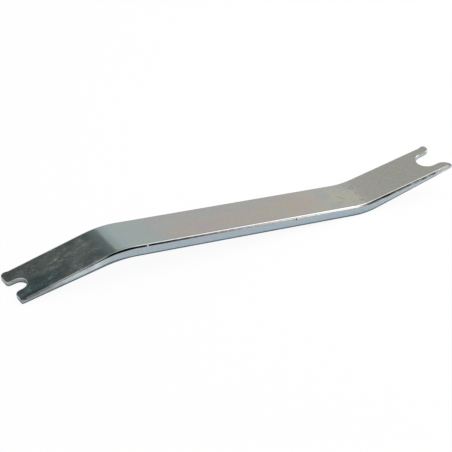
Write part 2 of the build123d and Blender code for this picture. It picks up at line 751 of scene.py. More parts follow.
        # How much is lost at each place: a slope, eased in over its first part
        past = n.math("SUBTRACT", run, entry["Thin Start"])
        eased = n.math("ADD", past, entry["Thin Blend"])
        square = n.math("MULTIPLY", eased, eased)
        curve = n.math("DIVIDE", square, n.math("MULTIPLY", entry["Thin Blend"], 4.0))
        inside = n.math("LESS_THAN", past, entry["Thin Blend"])
        begun = n.math("GREATER_THAN", eased, 0.0)
        soft = n.math("MULTIPLY", curve, n.math("MULTIPLY", inside, begun))
        straight = n.math("MULTIPLY", past, n.math("SUBTRACT", 1.0, inside))
        lost = n.math("MULTIPLY", n.math("ADD", soft, straight), entry["Thin Slope"])

        # The edges keep their shape, and the layer between them takes up the thinning
        kept_top = 1.5 * MM
        kept_low = 0.55 * MM
        span = n.math("SUBTRACT", entry["Thickness"], kept_top + kept_low)
        share = n.math("DIVIDE", n.math("SUBTRACT", depth, kept_top), span, clamp=True)
        thin = n.math("SUBTRACT", depth, n.math("MULTIPLY", lost, share))

        # The place along the arc and the straight rest, moved out by the depth below them
        bent = n.math("SUBTRACT", run, entry["Bend Start"])
        arc_length = n.math("MULTIPLY", entry["Bend Radius"], n.math("ABSOLUTE", entry["Bend Angle"]))
        on_arc = n.math("MINIMUM", n.math("MAXIMUM", bent, 0.0), arc_length)
        turned = n.math("DIVIDE", on_arc, entry["Bend Radius"])
        rest = n.math("MAXIMUM", n.math("SUBTRACT", bent, arc_length), 0.0)
        before = n.math("MINIMUM", run, entry["Bend Start"])
        sine, cosine = n.math("SINE", turned), n.math("COSINE", turned)
        way = n.math("SIGN", entry["Bend Angle"])
        level = n.math("MULTIPLY", entry["Bend Radius"], sine)
        reach = n.math("ADD", level, n.math("MULTIPLY", rest, cosine))
        drop = n.math("MULTIPLY", entry["Bend Radius"], n.math("SUBTRACT", 1.0, cosine))
        rise = n.math("MULTIPLY", n.math("ADD", drop, n.math("MULTIPLY", rest, sine)), way)
        lean = n.math("MULTIPLY", n.math("MULTIPLY", sine, way), thin)
        along = n.math("ADD", n.math("ADD", before, reach), lean)
        height = n.math("SUBTRACT", rise, n.math("MULTIPLY", cosine, thin))

        join = n.add("ShaderNodeCombineXYZ")
        n.feed(join.inputs[0], n.math("MULTIPLY", along, entry["Side"]))
        n.feed(join.inputs[1], y)
        n.feed(join.inputs[2], height)
        move = n.add("GeometryNodeSetPosition")
        n.feed(move.inputs["Geometry"], entry["Geometry"])
        n.feed(move.inputs["Selection"], n.math("GREATER_THAN", run, 0.0))
        n.feed(move.inputs["Position"], join.outputs[0])
        n.feed(n.add("NodeGroupOutput").inputs[0], move.outputs[0])
        return tree

    def shaping_tree(self, finish: bpy.types.Material) -> bpy.types.NodeTree:
        """The whole rule from flat blank to finished bar at rest.

        Args:
            finish: The material that the bar ends with.

        Returns:
            A geometry node tree for a modifier.
        """
        tree = bpy.data.node_groups.new("shape_forked_bar", "GeometryNodeTree")
        face = tree.interface
        face.new_socket("Geometry", in_out="INPUT", socket_type="NodeSocketGeometry")
        for name in ("Thickness", "Ripple Depth", "Ripple Length", "Rest Slope"):
            face.new_socket(name, in_out="INPUT", socket_type="NodeSocketFloat")
        face.new_socket("Rest Place", in_out="INPUT", socket_type="NodeSocketVector")
        face.new_socket("Geometry", in_out="OUTPUT", socket_type="NodeSocketGeometry")
        n = Nodes(tree)
        entry = n.add("NodeGroupInput").outputs

        # A faint ripple of the rims, mostly inwards
        place = n.vector("DIVIDE", n.add("GeometryNodeInputPosition").outputs[0], entry["Ripple Length"])
        rim = n.add("GeometryNodeInputNamedAttribute", data_type="FLOAT")
        n.feed(rim.inputs["Name"], "rim")
        crest = 0.6
        wave = n.math("MULTIPLY", n.math("SUBTRACT", n.noise(place, 1.0)[0], crest), rim.outputs[0])
        height = n.math("MULTIPLY", wave, entry["Ripple Depth"])
        ripple = n.add("GeometryNodeSetPosition")
        n.feed(ripple.inputs["Geometry"], entry["Geometry"])
        n.feed(ripple.inputs["Offset"], n.scale(n.add("GeometryNodeInputNormal").outputs[0], height))

        shaped = ripple.outputs[0]
        group = self.arm_group()
        for arm in (self.drooping, self.raised):
            bend = n.add("GeometryNodeGroup", node_tree=group)
            n.feed(bend.inputs["Geometry"], shaped)
            n.feed(bend.inputs["Thickness"], entry["Thickness"])
            n.feed(bend.inputs["Side"], float(arm.side.value))
            n.feed(bend.inputs["Bend Start"], arm.bend_start)
            n.feed(bend.inputs["Bend Radius"], arm.bend_radius)
            n.feed(bend.inputs["Bend Angle"], arm.bend_angle)
            n.feed(bend.inputs["Thin Slope"], arm.thin_slope(self.thickness))
            n.feed(bend.inputs["Thin Start"], arm.thin_start)
            n.feed(bend.inputs["Thin Blend"], arm.thin_blend)
            shaped = bend.outputs[0]

        turn = n.add("ShaderNodeCombineXYZ")
        n.feed(turn.inputs[1], entry["Rest Slope"])
        rest = n.add("GeometryNodeTransform")
        n.feed(rest.inputs["Geometry"], shaped)
        n.feed(rest.inputs["Translation"], entry["Rest Place"])
        n.feed(rest.inputs["Rotation"], turn.outputs[0])
        smooth = n.add("GeometryNodeSetShadeSmooth")
        n.feed(smooth.inputs["Geometry"], rest.outputs[0])
        real = n.add("GeometryNodeRealizeInstances")
        n.feed(real.inputs[0], smooth.outputs[0])
        dress = n.add("GeometryNodeSetMaterial")
        n.feed(dress.inputs["Geometry"], real.outputs[0])
        n.feed(dress.inputs["Material"], finish)
        n.feed(n.add("NodeGroupOutput").inputs[0], dress.outputs[0])
        return tree

    def rest(self) -> tuple[float, Vector]:
        """How the bar lies on the bench, on its drooping tip and on the belly of its raised bend.

        Returns:
            The slope of the middle and the place of its top face's mid point.
        """
        foot = self.drooping.tip_corner(self.drooping.tip_thickness)
        end = self.raised.tip_corner(self.raised.tip_thickness)
        low_corner = self.raised.bend_corner + self.thickness * math.tan(self.raised.bend_angle / 2)
        belly_radius = self.raised.bend_radius + self.thickness
        belly_angle = math.atan2(end.y + self.thickness, end.x - low_corner)
        belly_along = low_corner - belly_radius * math.tan(belly_angle / 2)
        to_belly = Vector((belly_along, belly_radius - self.thickness)) - foot
        slope = math.atan2(to_belly.y, to_belly.x) - math.asin(belly_radius / to_belly.length)
        cosine, sine = math.cos(slope), math.sin(slope)
        start = self.drooping.tip_corner(0.0)
        left = cosine * start.x + sine * start.y
        right = cosine * end.x + sine * end.y
        return slope, Vector((-(left + right) / 2, 0.0, sine * foot.x - cosine * foot.y))

    def build(self, finish: bpy.types.Material) -> bpy.types.Object:
        """Make the bar and let it stand for its solid.

        Args:
            finish: The bar's material.

        Returns:
            The finished piece.
        """
        bar = bpy.data.objects.new("zinc_plated_bar", self.blank())
        bpy.context.scene.collection.objects.link(bar)
        shape = bar.modifiers.new("shape", "NODES")
        shape.node_group = self.shaping_tree(finish)
        rest_slope, rest_place = self.rest()
        sizes = {
            "Thickness": self.thickness,
            "Ripple Depth": self.ripple_depth,
            "Ripple Length": self.ripple_length,
            "Rest Slope": rest_slope,
            "Rest Place": tuple(rest_place),
        }
        for item in shape.node_group.interface.items_tree:
            if item.in_out == "INPUT" and item.name in sizes:
                shape[item.identifier] = sizes[item.name]
        seen = bar.evaluated_get(bpy.context.evaluated_depsgraph_get())
        mesh = bpy.data.meshes.new_from_object(seen)
        mesh.name = "zinc_plated_bar"
        bar.modifiers.clear()
        bar.data = mesh
        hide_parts("forked_bar")
        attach(bar, "root")
        return bar


class PlateNodes(Nodes):
    """The nodes of the plate's finish, which know where on the bar a place is.

    Lengths are in millimetres on the flat blank: run along the bar towards its raised arm,
    across it towards its far side, and down from its top face.
    """

    def __init__(self, tree: bpy.types.NodeTree) -> None:
        """Read the blank's attributes and find its regions, each 1 inside and 0 outside.

        Args:
            tree: The material's node tree.
        """
        super().__init__(tree)
        flat_place = self.add("ShaderNodeAttribute", attribute_name="flat_place").outputs["Vector"]
        self.place = self.scale(flat_place, 1 / MM)
        self.rim = self.add("ShaderNodeAttribute", attribute_name="rim").outputs["Fac"]
        # The band of painted shade along the lower part of the sides
        self.painted_shade_band = self.add("ShaderNodeAttribute", attribute_name="painted_shade_band").outputs["Fac"]
        self.run, self.across, height = self.parts(self.place)
        self.down = self.math("MULTIPLY", height, -1.0)
        self.top = self.fade(self.down, 0.02, 0.5)
        self.side = self.ramp(self.down, 0.25, 1.5)
        self.drooping_arm = self.fade(self.run, -92.0, -80.0)
        self.raised_arm = self.ramp(self.run, 55.0, 75.0)


@dataclass(frozen=True)
class Marks:
    """The masks of the marks on the plate, each 1 in its mark, and the noise that its wear follows."""

    fleck: bpy.types.NodeSocket
    haze: bpy.types.NodeSocket
    scratch: bpy.types.NodeSocket
    pressed: bpy.types.NodeSocket
    nick: bpy.types.NodeSocket
    tick: bpy.types.NodeSocket
    worn_tip: bpy.types.NodeSocket
    wear: bpy.types.NodeSocket


@dataclass(frozen=True)
class Cloud:
    """A soft cloud of colour on the plate, in millimetres along and across the flat blank."""

    centre: tuple[float, float]
    size: tuple[float, float]
    tint: tuple[float, float, float]


@dataclass(frozen=True)
class ZincPlate:
    """Bright zinc plate over rolled steel, thin enough to show faint colours and the marks under it."""

    roughness: float = 0.10
    rim_roughness: float = 0.05
    haze_roughness: float = 0.29
    fleck_roughness: float = 0.25
    along_bar: tuple[tuple[float, tuple[float, float, float]], ...] = (
        (0.00, (0.54, 0.62, 0.62)),
        (0.12, (0.56, 0.67, 0.64)),
        (0.21, (0.52, 0.67, 0.70)),
        (0.28, (0.55, 0.65, 0.67)),
        (0.36, (0.62, 0.63, 0.64)),
        (0.55, (0.65, 0.63, 0.61)),
        (0.745, (0.67, 0.685, 0.64)),
        (0.80, (0.675, 0.69, 0.645)),
        (0.87, (0.65, 0.66, 0.61)),
    )
    clouds: tuple[Cloud, ...] = (
        Cloud((-22.0, -5.0), (34.0, 7.0), (0.665, 0.615, 0.60)),
        Cloud((-12.0, 8.0), (30.0, 5.0), (0.60, 0.61, 0.65)),
        Cloud((36.0, 0.0), (19.0, 8.0), (0.70, 0.62, 0.55)),
        Cloud((59.0, 4.0), (6.0, 8.0), (0.57, 0.64, 0.69)),
        Cloud((66.0, -2.0), (5.5, 9.0), (0.70, 0.70, 0.58)),
        Cloud((60.0, -8.0), (5.0, 3.5), (0.57, 0.66, 0.66)),
        Cloud((77.0, 8.0), (7.0, 4.0), (0.56, 0.63, 0.66)),
        Cloud((16.0, 9.0), (34.0, 4.5), (0.60, 0.64, 0.66)),
        Cloud((-122.0, -7.0), (14.0, 6.5), (0.16, 0.36, 0.42)),
        Cloud((-98.0, 2.0), (14.0, 7.0), (0.76, 0.84, 0.80)),
        Cloud((-106.0, -3.0), (6.0, 4.0), (0.46, 0.62, 0.68)),
    )

    def film(self) -> Effect:
        """Faint colours of a thin plated film, in soft clouds.

        Returns:
            The effect, whose colour multiplies the metal's.
        """
        effect = Effect(
            "plated_film",
            {"Place": ORIGIN, "Scale": 0.1, "Strength": 1.0},
            {"Tint": "Color"},
        )
        n, given = effect.n, effect.given
        wide = n.noise(n.stretch(given["Place"], (0.5, 1.0, 1.0)), given["Scale"], 3.0, 0.55)
        fine = n.noise(given["Place"], n.math("MULTIPLY", given["Scale"], 6.0), 2.0)
        phase = n.math("MULTIPLY_ADD", fine[0], 0.22, n.math("MULTIPLY", wide[0], 0.9))
        hue = n.tints(
            phase,
            [
                (0.30, (0.96, 0.99, 1.06)),
                (0.42, (1.03, 0.98, 1.02)),
                (0.52, (1.05, 0.98, 0.95)),
                (0.62, (1.04, 1.02, 0.92)),
                (0.74, (0.95, 1.02, 1.03)),
            ],
        )
        tint = n.mix_colour(given["Strength"], (1.0, 1.0, 1.0, 1.0), hue)
        n.feed(effect.result["Tint"], tint)
        return effect

    def flecks(self) -> Effect:
        """Dull flecks where the plate took badly.

        Returns:
            The effect, whose mask is 1 in a fleck.
        """
        effect = Effect(
            "dull_flecks",
            {"Place": ORIGIN, "Scale": 1.0, "Cover": 0.5},
            {"Mask": "Float"},
        )
        n, given = effect.n, effect.given
        lumps = n.noise(given["Place"], given["Scale"], 4.0, 0.65)
        patches = n.noise(given["Place"], n.math("MULTIPLY", given["Scale"], 0.22), 2.0)
        level = n.math("MULTIPLY_ADD", patches[0], 0.6, lumps[0])
        edge = n.math("SUBTRACT", 1.08, n.math("MULTIPLY", given["Cover"], 0.4))
        n.feed(effect.result["Mask"], n.math("MULTIPLY", n.math("SUBTRACT", level, edge), 5.0, clamp=True))
        return effect

    def scratches(self) -> Effect:
        """Fine scratches that cross at a small angle, broken along their length.

        Returns:
            The effect, whose mask is 1 in a scratch.
        """
        effect = Effect(
            "handling_scratches",
            {"Place": ORIGIN, "Fineness": 1.0, "Amount": 0.5},
            {"Mask": "Float"},
        )
        n, given = effect.n, effect.given
        total = None
        for turn, salt in ((18.0, 3.1), (-37.0, 7.7), (64.0, 12.3)):
            shifted = n.vector("ADD", given["Place"], (salt, salt * 2, 0.0))
            warped = n.stretch(shifted, (0.05, 2.2, 0.5), turn)
            line = n.noise(warped, given["Fineness"], 1.0)
            thin = n.fade(n.math("ABSOLUTE", n.math("SUBTRACT", line[0], 0.5)), 0.0, 0.012)
            gaps = n.noise(shifted, 0.16, 2.0)
            kept = n.ramp(gaps[0], 0.56, 0.66)
            one = n.math("MULTIPLY", thin, kept)
            total = one if total is None else n.math("MAXIMUM", total, one)
        n.feed(effect.result["Mask"], n.math("MULTIPLY", total, given["Amount"], clamp=True))
        return effect

    def painted_reflection_streaks(self) -> Effect:
        """Painted dark reflection along a rolled edge, broken into streaks.

        Returns:
            The effect, whose mask is 1 in a streak.
        """
        effect = Effect(
            "painted_edge_reflection",
            {"Place": ORIGIN, "Rim": 0.0, "Amount": 0.5},
            {"Mask": "Float"},
        )
        n, given = effect.n, effect.given
        run = n.noise(n.stretch(given["Place"], (0.22, 1.6, 1.6)), 1.0, 3.0, 0.7)
        broken = n.ramp(run[0], 0.42, 0.6)
        along_rim = n.math("MULTIPLY", broken, given["Rim"])
        n.feed(effect.result["Mask"], n.math("MULTIPLY", along_rim, given["Amount"], clamp=True))
        return effect

    def grain(self) -> Effect:
        """Fine drawn lines along the bar, with a little pebbling.

        Returns:
            The effect, whose height feeds a bump.
        """
        effect = Effect(
            "drawn_grain",
            {"Place": ORIGIN, "Lines": 1.0, "Pebble": 1.0},
            {"Height": "Float"},
        )
        n, given = effect.n, effect.given
        lines = n.noise(n.stretch(given["Place"], (0.12, 3.0, 3.5)), 1.3, 3.0, 0.6)
        pebble = n.noise(given["Place"], 1.6, 3.0, 0.6)
        height = n.math("MULTIPLY", lines[0], given["Lines"])
        n.feed(effect.result["Height"], n.math("MULTIPLY_ADD", pebble[0], given["Pebble"], height))
        return effect

    def haze(self) -> Effect:
        """Cloudy patches where handling has dulled the plate.

        Returns:
            The effect, whose mask is 1 in a dulled patch.
        """
        effect = Effect("handling_haze", {"Place": ORIGIN, "Scale": 0.2}, {"Mask": "Float"})
        n, given = effect.n, effect.given
        turned = n.stretch(given["Place"], (0.55, 1.25, 1.0), 32.0)
        cloud = n.noise(turned, given["Scale"], 5.0, 0.62)
        n.feed(effect.result["Mask"], n.ramp(cloud[0], 0.43, 0.68))
        return effect

    def spot(self) -> Effect:
        """One soft-edged spot, with an uneven outline.

        Returns:
            The effect, whose mask is 1 in the spot.
        """
        effect = Effect(
            "single_spot",
            {"Place": ORIGIN, "Centre": ORIGIN, "Size": (1.0, 1.0, 1.0)},
            {"Mask": "Float"},
        )
        n, given = effect.n, effect.given
        away = n.vector("SUBTRACT", given["Place"], given["Centre"])
        flat = n.vector("MULTIPLY", away, (1.0, 1.0, 0.0))
        reach = n.vector("DIVIDE", flat, given["Size"])
        uneven = n.noise(n.vector("ADD", reach, given["Centre"]), 1.4, 3.0)
        distance = n.math("MULTIPLY_ADD", n.math("SUBTRACT", uneven[0], 0.5), 0.9, n.length(reach))
        n.feed(effect.result["Mask"], n.fade(distance, 0.45, 1.1))
        return effect

    def press_line(self) -> Effect:
        """A broken line that the bending die left, along part of a circle.

        Returns:
            The effect, whose mask is 1 on the line.
        """
        effect = Effect(
            "bending_die_line",
            {"Place": ORIGIN, "Centre": ORIGIN, "Radius": 20.0, "Width": 0.4},
            {"Mask": "Float"},
        )
        n, given = effect.n, effect.given
        flat = n.vector("MULTIPLY", n.vector("SUBTRACT", given["Place"], given["Centre"]), (1.0, 1.0, 0.0))
        off = n.math("ABSOLUTE", n.math("SUBTRACT", n.length(flat), given["Radius"]))
        line = n.fade(n.math("DIVIDE", off, given["Width"]), 0.3, 1.0)
        gaps = n.ramp(n.noise(given["Place"], 0.3, 3.0)[0], 0.47, 0.6)
        n.feed(effect.result["Mask"], n.math("MULTIPLY", line, gaps))
        return effect

    def pressed(self, n: PlateNodes) -> bpy.types.NodeSocket:
        """The lines that the bending die left across the raised bend.

        Args:
            n: The finish's nodes.

        Returns:
            Their mask's socket.
        """
        group = self.press_line()
        lines = None
        for centre, radius, width in (
            ((58.0, -3.0, 0.0), 23.0, 0.6),
            ((50.0, 12.0, 0.0), 32.0, 0.5),
            ((62.0, -15.0, 0.0), 9.5, 0.45),
            ((101.0, 40.0, 0.0), 53.0, 0.55),
        ):
            one = group.place(n, Place=n.place, Centre=centre, Radius=radius, Width=width)["Mask"]
            lines = one if lines is None else n.math("MAXIMUM", lines, one)
        bend = n.band(n.run, (60.0, 65.0), (84.0, 90.0))
        return n.math("MULTIPLY", n.math("MULTIPLY", lines, bend), n.top)

    def marks(self, n: PlateNodes, spots: Effect) -> Marks:
        """Place the marks of wear and of bending on the plate.

        Args:
            n: The finish's nodes.
            spots: The effect of a single spot.

        Returns:
            Their masks.
        """
        cover = n.math("MULTIPLY_ADD", n.drooping_arm, 0.26, 0.42)
        fleck = self.flecks().place(n, Place=n.place, Scale=0.62, Cover=cover)["Mask"]
        haze = self.haze().place(n, Place=n.place, Scale=0.17)["Mask"]
        haze = n.math("MULTIPLY", haze, n.math("MULTIPLY_ADD", n.drooping_arm, 0.85, 0.15))
        nick = spots.place(n, Place=n.place, Centre=(30.3, -12.3, 0.0), Size=(0.6, 0.6, 1.0))["Mask"]
        tick = spots.place(n, Place=n.place, Centre=(-62.9, -12.0, 0.0), Size=(0.6, 2.4, 1.0))["Mask"]
        worn_tip = spots.place(n, Place=n.place, Centre=(136.5, -12.3, 0.0), Size=(9.0, 3.0, 1.0))["Mask"]
        return Marks(
            fleck=n.math("MULTIPLY", fleck, n.top),
            haze=n.math("MULTIPLY", haze, n.top),
            scratch=self.scratches().place(n, Place=n.place, Fineness=1.0, Amount=0.6)["Mask"],
            pressed=self.pressed(n),
            nick=n.math("MULTIPLY", nick, n.band(n.down, (0.5, 0.8), (1.6, 2.2))),
            tick=n.math("MULTIPLY", tick, n.math("MULTIPLY", n.rim, 1.5, clamp=True)),
            worn_tip=n.math("MULTIPLY", worn_tip, n.math("MAXIMUM", n.side, n.rim)),
            wear=n.noise(n.stretch(n.place, (0.55, 1.3, 1.0), 24.0), 0.75, 3.0, 0.6)[0],
        )

    def plate_colour_and_tip_shade(self, n: PlateNodes, spots: Effect) -> bpy.types.NodeSocket:
        """The plate's colour, which changes along the bar and in faint clouds, with painted shade on the
        sides at the drooping tip.

        Args:
            n: The finish's nodes.
            spots: The effect of a single spot.

        Returns:
            The colour's socket.
        """
        drift = n.noise(n.place, 0.09, 3.0, 0.6)
        along = n.add("ShaderNodeMapRange")
        n.feed(along.inputs["Value"], n.math("MULTIPLY_ADD", n.math("SUBTRACT", drift[0], 0.5), 22.0, n.run))
        n.feed(along.inputs["From Min"], -140.0)
        n.feed(along.inputs["From Max"], 140.0)
        colour = n.tints(along.outputs["Result"], self.along_bar)
        for cloud in self.clouds:
            spread = {"Centre": (*cloud.centre, 0.0), "Size": (*cloud.size, 1.0)}
            mask = spots.place(n, Place=n.place, **spread)["Mask"]
            colour = n.mix_colour(n.math("MULTIPLY", mask, 0.6), colour, (*cloud.tint, 1.0))

        # The sides are plainer and bluer, and darker at the drooping tip, which is painted shade where the
        # tip lies on the floor
        arms = n.math("ABSOLUTE", n.run)
        plain = n.mix_colour(n.ramp(arms, 70.0, 95.0), (0.56, 0.62, 0.665, 1.0), (0.61, 0.64, 0.65, 1.0))
        plain = n.mix_colour(n.fade(n.run, -118.0, -105.0), plain, (0.42, 0.43, 0.43, 1.0))
        colour = n.mix_colour(n.side, colour, plain)
        colour = n.mix_colour(n.math("MULTIPLY", n.rim, 0.8), colour, (0.62, 0.64, 0.64, 1.0))

        strength = n.math("MULTIPLY_ADD", n.math("MAXIMUM", n.side, n.rim), -0.8, 1.0)
        strength = n.math("MULTIPLY", strength, n.ramp(arms, 70.0, 95.0, 1.0, 0.5))
        film = self.film().place(n, Place=n.place, Scale=0.11, Strength=strength)["Tint"]
        return n.mix_colour(1.0, colour, film, "MULTIPLY")

    def wear_and_shade_colour(
        self, n: PlateNodes, marks: Marks, plate: bpy.types.NodeSocket
    ) -> bpy.types.NodeSocket:
        """The plate's colour with its wear and its marks, and painted shade and painted reflection along
        some edges.

        Args:
            n: The finish's nodes.
            marks: The masks of the marks.
            plate: The plate's colour, with the painted shade at the drooping tip.

        Returns:
            The colour's socket.
        """
        worn = n.math("MULTIPLY_ADD", n.raised_arm, 0.3, 0.2)
        worn = n.math("MULTIPLY", n.math("SUBTRACT", marks.wear, 0.5), worn)
        patch = n.noise(n.stretch(n.place, (0.8, 1.2, 1.0), 30.0), 0.13, 4.0, 0.6)
        blotch = n.math("MULTIPLY", n.drooping_arm, 1.7)
        blotch = n.math("MULTIPLY", n.math("SUBTRACT", patch[0], 0.41), blotch)
        colour = n.scale(plate, n.math("ADD", n.math("ADD", worn, blotch), 1.0))

        # Painted reflection: dark broken streaks on the rolled near edge, strongest on the raised arm
        amount = n.math("MULTIPLY_ADD", n.ramp(n.run, 74.0, 82.0), 0.75, 0.1)
        amount = n.math("SUBTRACT", amount, n.ramp(n.run, 92.0, 108.0, 0.0, 0.5))
        rolled = n.band(n.down, (0.1, 0.35), (1.3, 1.9))
        painted_reflection_streak = self.painted_reflection_streaks().place(n, Place=n.place, Rim=rolled, Amount=amount)["Mask"]
        # Painted shade along the far rim
        far_rim_shade = n.math("MULTIPLY", n.rim, n.ramp(n.across, 10.0, 11.5))
        # Painted shade on the upper part of the near prong's side at the drooping tip
        prong_shade = n.math("MULTIPLY", n.fade(n.run, -124.0, -110.0), n.fade(n.down, 0.9, 1.4))
        prong_shade = n.math("MULTIPLY", prong_shade, n.fade(n.across, -11.5, -10.0))
        # Darken with painted shade and painted reflection from the masks above, and with the real nick and
        # die lines
        for mask, share in (
            (prong_shade, 0.5),
            (far_rim_shade, 0.85),
            (n.painted_shade_band, 0.8),
            (painted_reflection_streak, 0.35),
            (marks.nick, 0.85),
            (marks.pressed, 0.4),
        ):
            colour = n.mix_colour(n.math("MULTIPLY", mask, share), colour, (0.10, 0.11, 0.12, 1.0))
        colour = n.mix_colour(n.math("MULTIPLY", marks.fleck, 0.2), colour, (0.62, 0.74, 0.73, 1.0))
        colour = n.mix_colour(marks.tick, colour, (0.80, 0.80, 0.79, 1.0))
        return n.mix_colour(n.math("MULTIPLY", marks.worn_tip, 0.8), colour, (0.86, 0.86, 0.85, 1.0))

    def worn_roughness(self, n: PlateNodes, marks: Marks) -> bpy.types.NodeSocket:
        """The plate's roughness, higher where it is dulled, scratched or rubbed.

        Args:
            n: The finish's nodes.
            marks: The masks of the marks.

        Returns:
            The roughness's socket.
        """
        scuffed = n.math("MULTIPLY", n.ramp(n.run, 98.0, 116.0), n.ramp(marks.wear, 0.4, 0.65))
        scuffed = n.math("MAXIMUM", scuffed, n.ramp(n.run, -126.0, -118.0, 0.3, 0.0))
        drift = n.ramp(n.noise(n.place, 0.12, 2.0)[0], 0.4, 0.6, 0.4, 1.0)
        rubbed = n.math("MULTIPLY", n.band(n.down, (0.4, 0.5), (1.1, 1.4)), n.ramp(n.run, 76.0, 86.0))
        mottle = n.noise(n.place, 0.5, 4.0, 0.6)
        rough = n.ramp(mottle[0], 0.3, 0.75, self.roughness - 0.03, self.roughness + 0.03)
        for mask, more in (
            (marks.haze, self.haze_roughness - self.roughness),
            (marks.fleck, self.fleck_roughness - self.roughness),
            (marks.scratch, 0.12),
            (n.rim, self.rim_roughness - self.roughness),
            (marks.tick, 0.6),
            (marks.worn_tip, 0.4),
            (n.math("MULTIPLY", scuffed, n.rim), 0.2),
            (n.math("MULTIPLY", rubbed, drift), 0.2),
        ):
            rough = n.math("MULTIPLY_ADD", mask, more, rough)
        return n.math("MAXIMUM", rough, 0.05)

    def relief(self, n: PlateNodes, marks: Marks) -> bpy.types.NodeSocket:
        """The drawn lines and pebbling of the steel under the plate, with the scratches cut in.

        Args:
            n: The finish's nodes.
            marks: The masks of the marks.

        Returns:
            The normal's socket.
        """
        lines = n.math("MULTIPLY_ADD", n.side, 0.75, 0.12)
        grain = self.grain().place(n, Place=n.place, Lines=lines, Pebble=0.18)["Height"]
        cut = n.math("MAXIMUM", marks.scratch, marks.pressed)
        bump = n.add("ShaderNodeBump")
        n.feed(bump.inputs["Strength"], 0.35)
        n.feed(bump.inputs["Distance"], 0.02 * MM)
        n.feed(bump.inputs["Height"], n.math("MULTIPLY_ADD", cut, -0.5, grain))
        return bump.outputs[0]

    def material(self) -> bpy.types.Material:
        """Build the finish.

        Returns:
            The material.
        """
        finish = bpy.data.materials.new("zinc_plated_steel")
        finish.use_nodes = True
        shader = finish.node_tree.nodes["Principled BSDF"]
        n = PlateNodes(finish.node_tree)
        spots = self.spot()
        marks = self.marks(n, spots)
        colour = self.wear_and_shade_colour(n, marks, self.plate_colour_and_tip_shade(n, spots))
        n.feed(shader.inputs["Base Color"], colour)
        n.feed(shader.inputs["Metallic"], 1.0)
        n.feed(shader.inputs["Roughness"], self.worn_roughness(n, marks))
        n.feed(shader.inputs["Normal"], self.relief(n, marks))
        return finish


def flat_sheet(
    name: str, corners: Sequence[tuple[float, float, float]], finish: bpy.types.Material
) -> bpy.types.Object:
    """Make a flat rectangle of the set, which isn't part of the tool.

    Args:
        name: Its name.
        corners: Its four corners, counter-clockwise from the side that it faces.
        finish: Its material.

    Returns:
        The sheet.
    """
    bm = bmesh.new()
    bm.faces.new([bm.verts.new(corner) for corner in corners])
    mesh = bpy.data.meshes.new(name)
    bm.to_mesh(mesh)
    bm.free()
    mesh.materials.append(finish)
    sheet = bpy.data.objects.new(name, mesh)
    bpy.context.scene.collection.objects.link(sheet)
    return sheet


@dataclass(frozen=True)
class Bench:
    """The plain pale floor that the tool lies on."""

    reach: float = 3.0
    gap: float = 0.1 * MM
    colour: tuple[float, float, float, float] = (0.80, 0.86, 0.90, 1.0)
    seen_colour: tuple[float, float, float, float] = (0.08, 0.08, 0.08, 1.0)
    white: float = 0.93

    def build(self) -> bpy.types.Object:
        """Make the floor.

        Returns:
            The floor.
        """
        signs = ((-1, -1), (1, -1), (1, 1), (-1, 1))
        corners = [(x * self.reach, y * self.reach, -self.gap) for x, y in signs]
        return flat_sheet("bench_floor", corners, self.material())

    def material(self) -> bpy.types.Material:
        """The floor's pale finish, which the camera sees as white outside the shadow.

        Returns:
            The material.
        """
        pale = bpy.data.materials.new("pale_floor")
        pale.use_nodes = True
        n = Nodes(pale.node_tree)
        shader = pale.node_tree.nodes["Principled BSDF"]
        path = n.add("ShaderNodeLightPath")
        camera = path.outputs["Is Camera Ray"]
        n.feed(shader.inputs["Base Color"], n.mix_colour(camera, self.colour, self.seen_colour))
        n.feed(shader.inputs["Roughness"], 0.9)
        n.feed(shader.inputs["Specular IOR Level"], 0.0)
        n.feed(shader.inputs["Emission Color"], (1.0, 1.0, 1.0, 1.0))
        n.feed(shader.inputs["Emission Strength"], n.math("MULTIPLY", camera, self.white))
        return pale


